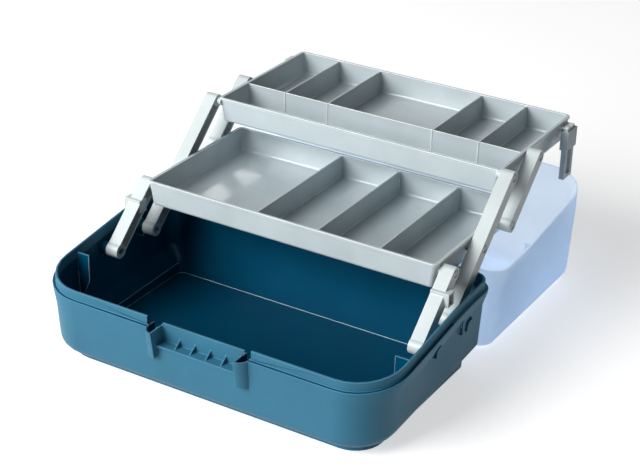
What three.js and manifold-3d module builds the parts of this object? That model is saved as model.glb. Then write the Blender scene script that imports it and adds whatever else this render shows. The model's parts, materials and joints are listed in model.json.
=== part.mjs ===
// Two-tray cantilever tackle box, open: base tub, lid laid back, trays raised on their arms.
// Millimetres, +Z up, +X to the box's right seen from the front, +Y towards the hinge.
import * as THREE from "three";
import { mergeVertices } from "three/addons/utils/BufferGeometryUtils.js";
import Module from "manifold-3d";

const wasm = await Module();
wasm.setup();

// General values
const fitGap = 0.3; // clearance between pieces that touch
const pinClearance = 0.15; // radial clearance round the steel pins
const overrun = 5; // how far a cutting solid runs past what it cuts
const bite = 0.5; // how far joined features sink into their wall
const cornerSteps = 7;
const roundSteps = 24;
const smallRoundSteps = 14;
const lipStationSteps = 5;

// Base tub
const lipWidth = 340;
const lipDepth = 190;
const lipFrontHeight = 73;
const lipSlope = 0.13; // rise of the lip from the front to where it levels out
const lipLevelFrom = 118;
const lipLevelBy = 172;
const lipFrontRadius = 40;
const lipRearRadius = 13;
const tongueHeight = 8;
const tongueWall = 1.8;
const ledgeThickness = 2.2;
const ledgeOverhangSide = 3.2;
const ledgeOverhangFront = 2.6;
const flareHeight = 15;
const flareInsetSide = 5.5;
const flareInsetFront = 1.2;
const wallDraft = 1.5;
const tubWall = 2.2;
const tubFloor = 2.4;
const footFrontHeight = 6;
const footRearHeight = 10.5;
const footDraft = 0.4;
const bottomEdgeSide = 13; // run of the rounded bottom edge from the wall to the foot
const bottomEdgeFront = 13.4;
const bottomEdgeRear = 3.5;
const bottomEdgeFrontHeight = 12;
const bottomEdgeRearHeight = 17;
const bottomEdgeSteps = 4;

// Latch recess in the base's front
const recessWidth = 82;
const recessSetback = 5; // face of the recess behind the lip's inner line
const recessWall = 2;
const recessTopDrop = 6.5; // top of the recess wall below the lip
const shelfHeight = 50;
const shelfThickness = 2;
const shelfLip = 2; // shelf's edge in front of the body, for the latch's hook
const gussetCount = 4;
const gussetSpacing = 15.5;
const gussetHeight = 6;
const gussetThickness = 1.2;
const earWidth = 11;
const earReach = 13; // ear tip in front of the lip's inner line
const earLowerReach = 8;
const earFoot = 38; // height at which the ear runs out
const earWall = 1.6;

// Trays
const traySidePlay = 21.4; // tray rim to the lip's inner line at each side
const trayDepthPlay = 37.4; // the lip's inner depth beyond the trays' depth
const trayHalfWidth = lipWidth / 2 - traySidePlay;
const trayDepth = lipDepth - trayDepthPlay;
const trayHeight = 24.2;
const trayCornerRadius = 4;
const trayFloorRadius = 3;
const trayWall = 1.6;
const trayFloor = 1.6;
const trayDraftSide = 2.6;
const trayDraftFront = 1;
const trayEdgeSteps = 3;
const beadOverhang = 0.9;
const beadHeight = 2.6;
const dividerWall = 1.4;
const dividerDrop = 0.8; // divider tops below the rim
const lowerDividers = [-31.3, 31.2, 93];
const upperDividers = [-103.5, -56, 56, 103.5];
const partitionSetback = 48; // upper tray's long partition behind its front
const ribDepth = 0.8;
const ribWidth = 1.1;

// Linkage
const armReach = 69.5; // distance between neighbouring pivots of an arm
const pivotSpacing = 54.6; // distance between neighbouring pivots of a tray
const openLean = 43; // degrees from +Y in the open pose
const rearPivotSetback = 44.6; // base rear pivot in front of the lip's rear inner line
const pivotDrop = 7.4; // base pivots below the lip's front
const lowerTrayFrontOffset = -65.6; // tray front from its middle pivot
const lowerTrayTopOffset = 8.4;
const upperTrayFrontOffset = -1.6; // tray front from its front pivot
const upperTrayTopOffset = 4;
const armGap = 0.8; // arm's inboard face from the trays' rims
const armWidth = 12.6;
const armDepth = 12;
const armWeb = 1.8;
const armFlange = 1.7;
const bossRadius = 7; // boss at an arm's foot; the other bosses are flush with its flanges
const studRadius = 2.3;
const boreRadius = studRadius + fitGap;
const headRadius = 3;
const headThickness = 1.3;
const counterboreRadius = 3.9;
const counterboreDepth = 1.8;
const slitWidth = 1;
const slitDepth = 7;
const studRootRadius = 5.5;
const rimStudRootRadius = 3.7; // roots just under the upper tray's rim
const blockAlong = 47; // stop block's middle from the front arm's base pivot
const blockHeight = 12.8;
const blockDepth = 10.5;
const blockOverhang = 5; // block beyond the arm's outboard face
const blockWall = 1.6;

// Arm rests in the base and keepers in the lid
const restAhead = 38.3; // rib in front of the front base pivot
const restInset = 6.1; // rib's inboard edge from the arms' inboard faces
const restRise = 10.8; // rib's top above the base pivots
const restLength = 26;
const restThickness = 1.8;

// Openings in the base's sides, each outline in Y and Z from the pivot it stands by
const rearWedge = [[2.4, -12.4], [-0.2, 6], [-9.1, 3.2], [-13.5, -0.5], [-5.5, -8.3]];
const rearHookOutside = [[5.6, -10], [5.9, -2.5], [10.3, 1.2], [16.4, -0.6], [19, -3.8]];
const rearHookInside = [[17.6, -4.6], [14.5, -4.4], [11.9, -7.8], [11.4, -13.1]];
const frontHookOutside = [[-1.7, -5.4], [2.1, -1.2], [7.6, 1.9], [12.6, 1.3], [15.1, -1.9]];
const frontHookInside = [[13.8, -3.4], [11.6, -3.2], [9.9, -7.2], [9.6, -12]];
const hookSteps = 3;
const eyeletPlace = [-4.7, -6.9];
const eyeletRadius = 0.9;
const keeperDepth = 119;
const keeperGap = 1; // keeper's inboard edge from the arms' outboard faces
const keeperLength = 14;

// Lid
const boxHeight = 172;
const hingeGap = 5; // hinge line behind the base's ledge
const lidWall = 2;
const roofWall = 1.7;
const lidFlareHeight = 16;
const lidFlareInsetSide = 6.4;
const lidFlareInsetFront = 4;
const lidDraft = 2.4;
const lidRimHeight = 9;
const lidRimInset = 0.2;
const lidEdgeRadius = 16;
const lidRoofRadii = [20, 17]; // plan corners of the lid's upper part, front and rear
const lidOpenAngle = -180;
const roofEdgeSteps = 4;

// Rear hinge
const hingeSpread = 96; // middle of each hinge from the box's middle
const hingePinRadius = 1.8;
const hingePinLength = 46;
const knuckleRadius = 4.2;
const knuckleLength = 14;
const knuckleWeb = 5; // height of the web where it meets the wall
const knuckleWebRise = 0.8; // base web's top above the hinge line
const knuckleWebDrop = 3.8; // webs' underside below the hinge line

// Handle and its recess in the lid's roof
const gripLength = 108;
const gripWidth = 26;
const gripBar = 11;
const gripThickness = 5.4;
const gripCorner = 9; // plan radius of the grip's outer corners
const gripStub = 2.6;
const gripStubRadius = 2.2;
const handleGap = 1;
const pocketDepth = 6.2;
const pocketWall = 1.8;
const handleDepth = 60; // middle of the handle behind the lip's inner line

// Latch
const latchWidth = 74;
const latchLength = 27;
const latchThickness = 2.6;
const latchHook = 3.1;
const latchLipHeight = 3;
const latchPivotRise = 7; // pivot above the lid's rim
const latchPivotReach = 4.2; // pivot in front of the lid's rim
const latchKnuckle = 3.2;
const latchPinRadius = 1.5;
const latchLugWidth = 6;
const latchLugSpread = 24;
const latchHangAngle = -180; // turn from locked to hanging outside the open lid

// Support legs on the upper tray's rear corners
const legSetback = 26.4; // sleeve's front face in front of the upper tray's rear
const legDepth = 21;
const legGap = 1.6; // leg's inboard face from the tray's rim
const legWidth = 7.8;
const legTopDrop = 7;
const legSleeveHeight = 19;
const legLength = 49;
const legWall = 1.6;
const legFootDepth = 5.2;
const legStep = 1.4; // the two legs stand in from the sleeve's faces
const legCrossbar = 4;
const legPivotDrop = 10.5;
const legPinRadius = 2;
const hornRadius = 3.6;
const hornPlay = 1; // room in front of and behind the horns, for the leg's swing

// Places that follow from the sizes above
const lipHeightAt = (y) => {
  const into = THREE.MathUtils.clamp(y - lipLevelFrom, 0, lipLevelBy - lipLevelFrom);
  const straight = lipFrontHeight + lipSlope * Math.min(y, lipLevelFrom);
  return straight + lipSlope * (into - (into * into) / (lipLevelBy - lipLevelFrom) / 2);
};
const pivotHeight = lipFrontHeight - pivotDrop;
const restHeight = pivotHeight + restRise;
const rearPivotDepth = lipDepth - rearPivotSetback;
const frontPivotDepth = rearPivotDepth - pivotSpacing;
const restDepth = frontPivotDepth - restAhead;
const leanRadians = THREE.MathUtils.degToRad(openLean);
const armStep = new THREE.Vector2(Math.cos(leanRadians), Math.sin(leanRadians)).multiplyScalar(armReach);
const rearBasePivot = new THREE.Vector2(rearPivotDepth, pivotHeight);
const frontBasePivot = new THREE.Vector2(frontPivotDepth, pivotHeight);
const lowerMiddlePivot = rearBasePivot.clone().add(armStep);
const upperFrontPivot = lowerMiddlePivot.clone().add(armStep);
const lowerRearPivot = lowerMiddlePivot.clone().add(new THREE.Vector2(pivotSpacing, 0));
const lowerTrayFront = lowerMiddlePivot.x + lowerTrayFrontOffset;
const lowerTrayTop = lowerMiddlePivot.y + lowerTrayTopOffset;
const upperTrayFront = upperFrontPivot.x + upperTrayFrontOffset;
const upperTrayTop = upperFrontPivot.y + upperTrayTopOffset;
const armInner = trayHalfWidth + armGap;
const armOuter = armInner + armWidth;
const restReach = armInner + restInset;
const keeperReach = armOuter + keeperGap;
const legInner = trayHalfWidth + legGap;
const lipHalfWidth = lipWidth / 2;
const tongueHalfWidth = lipHalfWidth + tongueWall;
const ledgeHalfWidth = tongueHalfWidth + ledgeOverhangSide;
const ledgeFront = -tongueWall - ledgeOverhangFront;
const ledgeRear = lipDepth - ledgeFront;
const hingeHeight = boxHeight / 2;
const hingeDepth = ledgeRear + hingeGap;
const ledgeReach = tongueWall + ledgeOverhangSide;
const ledgeRadii = [lipFrontRadius + ledgeReach, lipRearRadius + ledgeReach];
const bodyHalfWidth = ledgeHalfWidth - flareInsetSide;
const bodyFront = ledgeFront + flareInsetFront;

// Materials
const plastic = (color, roughness) => new THREE.MeshStandardMaterial({ color, roughness, metalness: 0 });
const tealPlastic = plastic(0x2f6f8a, 0.4);
const lidPlastic = plastic(0xb3c7e6, 0.35);
const trayPlastic = plastic(0xb9c6ca, 0.45);
const armPlastic = plastic(0xdfe5e6, 0.4);
const legPlastic = plastic(0x9aa3ab, 0.45);
const pinSteel = new THREE.MeshStandardMaterial({ color: 0x9a9da1, roughness: 0.3, metalness: 1 });

// Turns a closed three.js geometry into a manifold-3d solid.
function solid(geometry) {
  const plain = geometry.clone();
  plain.deleteAttribute("normal");
  plain.deleteAttribute("uv");
  const merged = mergeVertices(plain);
  return new wasm.Manifold(
    new wasm.Mesh({
      numProp: 3,
      vertProperties: new Float32Array(merged.attributes.position.array),
      triVerts: new Uint32Array(merged.index.array),
    }),
  );
}

// Turns a manifold-3d solid back into a three.js geometry.
function geometryOf(body) {
  const mesh = body.getMesh();
  const geometry = new THREE.BufferGeometry();
  geometry.setAttribute("position", new THREE.BufferAttribute(new Float32Array(mesh.vertProperties), 3));
  geometry.setIndex(new THREE.BufferAttribute(new Uint32Array(mesh.triVerts), 1));
  geometry.computeVertexNormals();
  return geometry;
}

const join = (solids) => solids.reduce((whole, part) => whole.add(part));
const cut = (body, tools) => tools.reduce((whole, tool) => whole.subtract(tool), body);

// A solid between two opposite corners.
function block(x0, x1, y0, y1, z0, z1) {
  const geometry = new THREE.BoxGeometry(x1 - x0, y1 - y0, z1 - z0);
  geometry.translate((x0 + x1) / 2, (y0 + y1) / 2, (z0 + z1) / 2);
  return solid(geometry);
}

// A round bar along X.
function barX(radius, x0, x1, y, z, steps = roundSteps) {
  const geometry = new THREE.CylinderGeometry(radius, radius, x1 - x0, steps);
  geometry.rotateZ(-Math.PI / 2);
  geometry.translate((x0 + x1) / 2, y, z);
  return solid(geometry);
}

// A side view outline, drawn in Y and Z, given a width along X.
function sideExtrusion(shape, x0, x1, steps = smallRoundSteps) {
  const geometry = new THREE.ExtrudeGeometry(shape, {
    depth: x1 - x0,
    bevelEnabled: false,
    curveSegments: steps,
  });
  const alongY = new THREE.Vector3(0, 1, 0);
  const alongZ = new THREE.Vector3(0, 0, 1);
  const alongX = new THREE.Vector3(1, 0, 0);
  geometry.applyMatrix4(new THREE.Matrix4().makeBasis(alongY, alongZ, alongX));
  geometry.translate(x0, 0, 0);
  return solid(geometry);
}

// A plan outline, drawn in X and Y, given a height.
function planExtrusion(shape, z0, z1, steps = smallRoundSteps) {
  const geometry = new THREE.ExtrudeGeometry(shape, {
    depth: z1 - z0,
    bevelEnabled: false,
    curveSegments: steps,
  });
  geometry.translate(0, 0, z0);
  return solid(geometry);
}

// A rounded rectangle seen from above, as a closed ring whose height may vary with Y.
// Stations are places along Y where the straight sides get a point of their own.
function roundedRing({ halfWidth, front, rear, radii, height, stations = [] }) {
  const [frontRadius, rearRadius] = radii.map((radius) => Math.max(radius, fitGap));
  const centres = [
    [halfWidth - frontRadius, front + frontRadius, frontRadius, -Math.PI / 2],
    [halfWidth - rearRadius, rear - rearRadius, rearRadius, 0],
    [rearRadius - halfWidth, rear - rearRadius, rearRadius, Math.PI / 2],
    [frontRadius - halfWidth, front + frontRadius, frontRadius, Math.PI],
  ];
  const ring = [];
  const point = (x, y) => ring.push(new THREE.Vector3(x, y, height(y)));
  const sidePlaces = stations.map((place, rank) =>
    Math.min(place, rear - rearRadius - (stations.length - rank) * fitGap));
  centres.forEach(([x, y, radius, start], corner) => {
    for (let step = 0; step <= cornerSteps; step++) {
      const angle = start + (step / cornerSteps) * (Math.PI / 2);
      point(x + radius * Math.cos(angle), y + radius * Math.sin(angle));
    }
    if (corner === 0) sidePlaces.forEach((place) => point(halfWidth, place));
    if (corner === 2) sidePlaces.toReversed().forEach((place) => point(-halfWidth, place));
  });
  return ring;
}

// Skins a stack of rings, bottom first, into one closed solid.
function loft(rings) {
  const count = rings[0].length;
  const positions = rings.flatMap((ring) => ring.flatMap((point) => point.toArray()));
  const index = [];
  for (let level = 0; level + 1 < rings.length; level++) {
    for (let step = 0; step < count; step++) {
      const next = (step + 1) % count;
      const a = level * count + step;
      const b = level * count + next;
      index.push(a, b, b + count, a, b + count, a + count);
    }
  }
  const capTriangles = (ring) => {
    const flat = ring.map((point) => new THREE.Vector2(point.x, point.y));
    return THREE.ShapeUtils.triangulateShape(flat, []);
  };
  const top = (rings.length - 1) * count;
  for (const [a, b, c] of capTriangles(rings[0])) index.push(a, c, b);
  for (const [a, b, c] of capTriangles(rings[rings.length - 1])) index.push(top + a, top + b, top + c);
  const geometry = new THREE.BufferGeometry();
  geometry.setAttribute("position", new THREE.Float32BufferAttribute(positions, 3));
  geometry.setIndex(index);
  return solid(geometry);
}

// Makes a finished mesh from a solid.
function piece(name, body, material) {
  const mesh = new THREE.Mesh(geometryOf(body), material);
  mesh.name = name;
  return mesh;
}

// Mirrors a solid to the box's other side.
const mirrored = (body) => body.mirror([1, 0, 0]);
const bothSides = (body) => body.add(mirrored(body));

// Levels of a rounded edge from the bottom up, each as the sine and cosine of its angle.
const edgeLevels = (steps) => {
  const levels = [];
  for (let step = 0; step <= steps; step++) {
    const angle = (step / steps) * (Math.PI / 2);
    levels.push([Math.sin(angle), Math.cos(angle)]);
  }
  return levels;
};

// Share of the way from the front to the rear, for sizes that change along the side.
const alongSide = (y) => THREE.MathUtils.clamp(y / lipDepth, 0, 1);
const lipStations = [];
for (let step = 0; step <= lipStationSteps; step++) {
  lipStations.push(THREE.MathUtils.lerp(lipLevelFrom, lipLevelBy, step / lipStationSteps));
}

// Base tub: rings of the moulding from the foot to under the ledge, inset by the wall for its inside.
function tubRings(wall, floor) {
  const rings = [];
  const add = (inset, height) => {
    rings.push(
      roundedRing({
        halfWidth: ledgeHalfWidth - inset.side - wall,
        front: ledgeFront + inset.front + wall,
        rear: ledgeRear - inset.rear - wall,
        radii: ledgeRadii.map((radius, end) => radius - inset.radii[end] - wall),
        height,
        stations: lipStations,
      }),
    );
  };
  // Inset of the body's wall, plus a share of the bottom edge's run and a draft.
  const bodyInset = (share, draft) => ({
    side: flareInsetSide + wallDraft + share * bottomEdgeSide + draft,
    front: flareInsetFront + wallDraft + share * bottomEdgeFront + draft,
    rear: flareInsetFront + wallDraft + share * bottomEdgeRear + draft,
    radii: [bottomEdgeFront, bottomEdgeRear].map((run) => flareInsetSide + share * run),
  });
  const footTop = (y) => THREE.MathUtils.lerp(footFrontHeight, footRearHeight, alongSide(y)) + floor;
  const edgeHeight = (y) => THREE.MathUtils.lerp(bottomEdgeFrontHeight, bottomEdgeRearHeight, alongSide(y));
  add(bodyInset(1, footDraft), () => floor);
  if (wall === 0) add(bodyInset(1, 0), footTop);
  for (const [sine, cosine] of edgeLevels(bottomEdgeSteps)) {
    if (wall === 0 && sine === 0) continue;
    // The edge is round at the front and turns into a chamfer towards the rear.
    const rise = (y) => THREE.MathUtils.lerp(1 - cosine, sine, alongSide(y)) * edgeHeight(y);
    add(bodyInset(1 - sine, 0), (y) => footTop(y) + rise(y));
  }
  const flareFoot = (y) => lipHeightAt(y) - tongueHeight - ledgeThickness - flareHeight;
  const flareInset = { side: flareInsetSide, front: flareInsetFront, rear: flareInsetFront };
  add({ ...flareInset, radii: [flareInsetSide, flareInsetSide] }, flareFoot);
  return { rings, add };
}

// Open shell of the tub: up the outside, over the tongue, down the inside to the floor.
// The outside alone, as a full block, comes with it.
function tubShell() {
  const outside = tubRings(0, 0);
  const inside = tubRings(tubWall, tubFloor);
  const ledgeUnder = (y) => lipHeightAt(y) - tongueHeight - ledgeThickness;
  const ledgeTop = (y) => lipHeightAt(y) - tongueHeight;
  const ledge = { side: 0, front: 0, rear: 0, radii: [0, 0] };
  const tongue = {
    side: ledgeOverhangSide,
    front: ledgeOverhangFront,
    rear: ledgeOverhangFront,
    radii: [ledgeOverhangSide, ledgeOverhangSide],
  };
  outside.add(ledge, ledgeUnder);
  outside.add(ledge, ledgeTop);
  outside.add(tongue, ledgeTop);
  outside.add(tongue, lipHeightAt);
  const innerLip = (height) =>
    roundedRing({
      halfWidth: lipHalfWidth,
      front: 0,
      rear: lipDepth,
      radii: [lipFrontRadius, lipRearRadius],
      height,
      stations: lipStations,
    });
  const inner = [innerLip(lipHeightAt), innerLip(ledgeUnder), ...inside.rings.toReversed()];
  return { shell: loft([...outside.rings, ...inner]), full: loft(outside.rings) };
}

// Plan outline of one ear: straight flank on the recess side, bulging nose, open back.
function earRing(reach, wall, height) {
  const flank = recessWidth / 2 + wall;
  const ring = [new THREE.Vector3(flank, recessSetback + recessWall, height)];
  const noseDepth = reach - wall;
  const noseWidth = earWidth - wall - wall;
  for (let step = 0; step <= cornerSteps; step++) {
    const angle = (step / cornerSteps) * (Math.PI / 2);
    const x = flank + noseWidth * Math.sin(angle);
    ring.push(new THREE.Vector3(x, -noseDepth * Math.cos(angle), height));
  }
  ring.push(new THREE.Vector3(flank + noseWidth, recessSetback + recessWall, height));
  return ring;
}

function ear(wall, floor, extra) {
  const top = lipHeightAt(ledgeFront) - tongueHeight;
  const low = earFoot + floor;
  const shoulder = (low + top) / 2;
  const middleReach = (earReach + earLowerReach) / 2;
  return loft([
    earRing(earLowerReach, wall, low),
    earRing(middleReach, wall, shoulder),
    earRing(earReach, wall, top + extra),
  ]);
}

// Latch recess: face set back behind the lip, a shelf with gussets, and a hollow ear at each end.
function addLatchRecess(tub) {
  const half = recessWidth / 2;
  const wallTop = lipHeightAt(0) - recessTopDrop;
  const behind = recessSetback + recessWall;
  const above = lipHeightAt(0) + overrun;
  const opening = block(-half, half, -earReach - overrun, behind, shelfHeight - shelfThickness, above);
  const mouth = block(half, half + earWidth, -earReach - overrun, behind,
    lipHeightAt(0) - tongueHeight, above);
  const hollow = ear(earWall, earWall, overrun);
  const parts = [
    block(-half, half, recessSetback, behind, shelfHeight - shelfThickness, wallTop),
    block(-half, half, bodyFront - shelfLip, behind, shelfHeight - shelfThickness, shelfHeight),
  ];
  for (let place = 0; place < gussetCount; place++) {
    const x = (place - (gussetCount - 1) / 2) * gussetSpacing;
    const outline = new THREE.Shape([
      new THREE.Vector2(bodyFront, shelfHeight - bite),
      new THREE.Vector2(recessSetback + bite, shelfHeight - bite),
      new THREE.Vector2(recessSetback + bite, shelfHeight + gussetHeight),
      new THREE.Vector2(recessSetback, shelfHeight + gussetHeight),
      new THREE.Vector2(bodyFront, shelfHeight),
    ]);
    parts.push(sideExtrusion(outline, x - gussetThickness / 2, x + gussetThickness / 2));
  }
  const opened = cut(tub, [opening, bothSides(mouth)]);
  const withEars = opened.add(bothSides(ear(0, 0, 0)));
  return cut(withEars, [bothSides(hollow)]).add(join(parts));
}

// A snap stud along X: a root, a split shank and a flanged end with two flats.
function snapStud(rootFrom, face, end, y, z, rootRadius = studRootRadius) {
  const away = Math.sign(end - face);
  const span = (a, b) => [Math.min(a, b), Math.max(a, b)];
  const root = barX(rootRadius, ...span(rootFrom, face), y, z);
  const shank = barX(studRadius, ...span(face - away * bite, end), y, z);
  const head = barX(headRadius, ...span(end - away * headThickness, end), y, z);
  const flats = [-1, 1].map((side) => {
    const near = z + side * studRadius;
    const far = z + side * (headRadius + overrun);
    return block(...span(end - away * (headThickness + fitGap), end + away * overrun),
      y - headRadius - overrun, y + headRadius + overrun, ...span(near, far));
  });
  const slit = block(...span(end - away * slitDepth, end + away * overrun),
    y - slitWidth / 2, y + slitWidth / 2, z - headRadius - overrun, z + headRadius + overrun);
  return cut(root.add(shank).add(head), [...flats, slit]);
}

// Openings through the base's side by the arm studs: a wedge, two hooks and an eyelet.
function sideOpenings(from, to) {
  const placed = (points, pivot) =>
    points.map(([alongY, alongZ]) => new THREE.Vector2(alongY, alongZ).add(pivot));
  const hook = (outside, inside, pivot) => {
    const outer = placed(outside, pivot);
    const inner = placed(inside, pivot);
    const shape = new THREE.Shape();
    shape.moveTo(outer[0].x, outer[0].y);
    shape.splineThru(outer.slice(1));
    shape.lineTo(inner[0].x, inner[0].y);
    shape.splineThru(inner.slice(1));
    shape.closePath();
    return sideExtrusion(shape, from, to, hookSteps);
  };
  const eyelet = frontBasePivot.clone().add(new THREE.Vector2(...eyeletPlace));
  return [
    sideExtrusion(new THREE.Shape(placed(rearWedge, rearBasePivot)), from, to),
    hook(rearHookOutside, rearHookInside, rearBasePivot),
    hook(frontHookOutside, frontHookInside, frontBasePivot),
    barX(eyeletRadius, from, to, eyelet.x, eyelet.y, smallRoundSteps),
  ];
}

function baseTub() {
  const { shell, full } = tubShell();
  let tub = addLatchRecess(shell);
  const wallFace = bodyHalfWidth - tubWall;
  const pivots = [frontBasePivot, rearBasePivot];
  // Each stud's root runs into the sloping wall; the openings pass through the wall round its core.
  const rootTo = (x1) => join(pivots.map((pivot) =>
    barX(studRootRadius, armOuter + fitGap, x1, pivot.x, pivot.y)));
  const roots = rootTo(ledgeHalfWidth).intersect(full);
  const core = rootTo(wallFace + bite);
  const openings = sideOpenings(wallFace - overrun, ledgeHalfWidth + overrun);
  tub = cut(tub.add(bothSides(roots)), openings.map((opening) => bothSides(opening.subtract(core))));
  for (const pivot of pivots) {
    const stud = snapStud(wallFace + bite, armOuter + fitGap, armInner + fitGap, pivot.x, pivot.y);
    tub = tub.add(bothSides(stud));
  }
  const rest = new THREE.Shape([
    new THREE.Vector2(restReach, restHeight),
    new THREE.Vector2(restReach, restHeight - restLength),
    new THREE.Vector2(wallFace + bite, restHeight - restLength * 2),
    new THREE.Vector2(wallFace + bite, restHeight),
  ]);
  const restGeometry = new THREE.ExtrudeGeometry(rest, { depth: restThickness, bevelEnabled: false });
  restGeometry.rotateX(Math.PI / 2);
  restGeometry.translate(0, restDepth + restThickness / 2, 0);
  tub = tub.add(bothSides(solid(restGeometry).intersect(full)));
  return tub.add(bothSides(hingeKnuckles(true)));
}

// Knuckles of one hinge, on the base or on the lid, built round the hinge line at its closed place.
function hingeKnuckles(onBase) {
  const places = onBase ? [-1, 1] : [0];
  const pitch = knuckleLength + fitGap;
  const near = ledgeRear - bite;
  const baseTop = lipHeightAt(lipDepth) - tongueHeight;
  const lidLow = baseTop + fitGap + fitGap;
  const web = onBase
    ? [baseTop - ledgeThickness - knuckleWeb, baseTop - fitGap, hingeHeight + knuckleWebRise]
    : [lidLow, lidLow + knuckleWeb, hingeHeight + knuckleRadius];
  const outline = new THREE.Shape([
    new THREE.Vector2(near, web[0]),
    new THREE.Vector2(near, web[1]),
    new THREE.Vector2(hingeDepth, web[2]),
    new THREE.Vector2(hingeDepth, hingeHeight - knuckleWebDrop),
  ]);
  const knuckles = places.map((place) => {
    const x0 = hingeSpread + place * pitch - knuckleLength / 2;
    const x1 = x0 + knuckleLength;
    return barX(knuckleRadius, x0, x1, hingeDepth, hingeHeight).add(sideExtrusion(outline, x0, x1));
  });
  const radius = hingePinRadius + pinClearance;
  const bore = barX(radius, hingeSpread - pitch * 2, hingeSpread + pitch * 2, hingeDepth, hingeHeight);
  return join(knuckles).subtract(bore);
}

function hingePin(side) {
  const x0 = side * hingeSpread - hingePinLength / 2;
  return barX(hingePinRadius, x0, x0 + hingePinLength, hingeDepth, hingeHeight);
}

// Lid in its closed place: drafted dome whose rim follows the base's ledge.
function lidRings(wall, roofHeight) {
  const rimHeightAt = (y) => lipHeightAt(y) - tongueHeight + fitGap;
  const rings = [];
  const add = (sideInset, depthInset, radii, loss, height) => {
    rings.push(
      roundedRing({
        halfWidth: ledgeHalfWidth - sideInset - wall,
        front: ledgeFront + depthInset + wall,
        rear: ledgeRear - depthInset - wall,
        radii: radii.map((radius) => radius - loss - wall),
        height,
        stations: lipStations,
      }),
    );
  };
  add(0, 0, ledgeRadii, 0, rimHeightAt);
  add(lidRimInset, lidRimInset, ledgeRadii, lidRimInset, (y) => rimHeightAt(y) + lidRimHeight);
  const flareTop = (y) => rimHeightAt(y) + lidRimHeight + lidFlareHeight;
  add(lidFlareInsetSide, lidFlareInsetFront, lidRoofRadii, 0, flareTop);
  const side = lidFlareInsetSide + lidDraft;
  const depth = lidFlareInsetFront + lidDraft;
  const edge = lidEdgeRadius - wall;
  for (const [sine, cosine] of edgeLevels(roofEdgeSteps).reverse()) {
    const gone = (1 - sine) * edge;
    add(side + gone, depth + gone, lidRoofRadii, gone, () => roofHeight - (1 - cosine) * edge);
  }
  return rings;
}

function lidShell() {
  const outside = lidRings(0, boxHeight);
  const inside = lidRings(lidWall, boxHeight - roofWall);
  const outer = loft(outside);
  const middle = handleDepth;
  const pocketHalf = gripLength / 2 + handleGap;
  const pocketFront = middle - gripWidth / 2 - handleGap;
  const pocketRear = middle + gripWidth / 2 + handleGap;
  const pocketFloor = boxHeight - pocketDepth;
  const pocketShell = block(-pocketHalf - pocketWall, pocketHalf + pocketWall, pocketFront - pocketWall,
    pocketRear + pocketWall, pocketFloor - pocketWall, boxHeight);
  const pocket = block(-pocketHalf, pocketHalf, pocketFront, pocketRear, pocketFloor, boxHeight + overrun);
  const sockets = barX(gripStubRadius + fitGap, -pocketHalf - overrun, pocketHalf + overrun,
    handlePivotDepth, handlePivotHeight, smallRoundSteps);
  const shellOnly = loft([...inside.toReversed(), ...outside]);
  let shell = cut(shellOnly.add(pocketShell.intersect(outer)), [pocket, sockets]);
  const keeperTop = lipHeightAt(keeperDepth) + keeperLength;
  const keeper = block(keeperReach, ledgeHalfWidth - lidFlareInsetSide, keeperDepth - restThickness / 2,
    keeperDepth + restThickness / 2, keeperTop - keeperLength, keeperTop).intersect(outer);
  shell = shell.add(bothSides(keeper));
  shell = shell.add(bothSides(hingeKnuckles(false)));
  return shell.add(latchLugs());
}

const latchPivotHeight = lipHeightAt(ledgeFront) - tongueHeight + fitGap + latchPivotRise;
const latchPivotDepth = ledgeFront - latchPivotReach;
const latchBore = () =>
  barX(latchPinRadius + pinClearance, -latchWidth, latchWidth, latchPivotDepth, latchPivotHeight);

// Lugs on the lid's front that carry the latch's pin.
function latchLugs() {
  const lugs = [-1, 1].map((place) => {
    const x0 = place * latchLugSpread - latchLugWidth / 2;
    const x1 = x0 + latchLugWidth;
    const barrel = barX(latchKnuckle, x0, x1, latchPivotDepth, latchPivotHeight, roundSteps);
    const outline = new THREE.Shape([
      new THREE.Vector2(latchPivotDepth, latchPivotHeight - latchKnuckle),
      new THREE.Vector2(ledgeFront + lidWall, latchPivotHeight - latchKnuckle),
      new THREE.Vector2(ledgeFront + lidWall, latchPivotHeight + latchKnuckle),
      new THREE.Vector2(latchPivotDepth, latchPivotHeight + latchKnuckle),
    ]);
    return barrel.add(sideExtrusion(outline, x0, x1));
  });
  return join(lugs).subtract(latchBore());
}

// Latch in its locked place: plate hung from the lid with a hook that snaps behind the shelf's edge.
function latch() {
  const half = latchWidth / 2;
  const bottom = latchPivotHeight - latchLength;
  const front = latchPivotDepth - latchThickness / 2;
  const back = latchPivotDepth + latchThickness / 2;
  const outline = new THREE.Shape([
    new THREE.Vector2(front, latchPivotHeight),
    new THREE.Vector2(front, bottom),
    new THREE.Vector2(back + latchHook, bottom),
    new THREE.Vector2(back + latchHook, bottom + latchLipHeight),
    new THREE.Vector2(back, bottom + latchLipHeight),
    new THREE.Vector2(back, latchPivotHeight),
  ]);
  const barrel = barX(latchKnuckle, -half, half, latchPivotDepth, latchPivotHeight);
  const gaps = [-1, 1].map((place) => {
    const x = place * latchLugSpread;
    const reach = latchLugWidth / 2 + fitGap;
    return block(x - reach, x + reach, latchPivotDepth - latchKnuckle - overrun,
      latchPivotDepth + latchKnuckle + overrun, latchPivotHeight - latchKnuckle - fitGap - fitGap,
      latchPivotHeight + latchKnuckle + overrun);
  });
  return cut(barrel.add(sideExtrusion(outline, -half, half)), [...gaps, latchBore()]);
}

function latchPin() {
  const half = latchWidth / 2;
  return barX(latchPinRadius, -half, half, latchPivotDepth, latchPivotHeight, smallRoundSteps);
}

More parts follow.
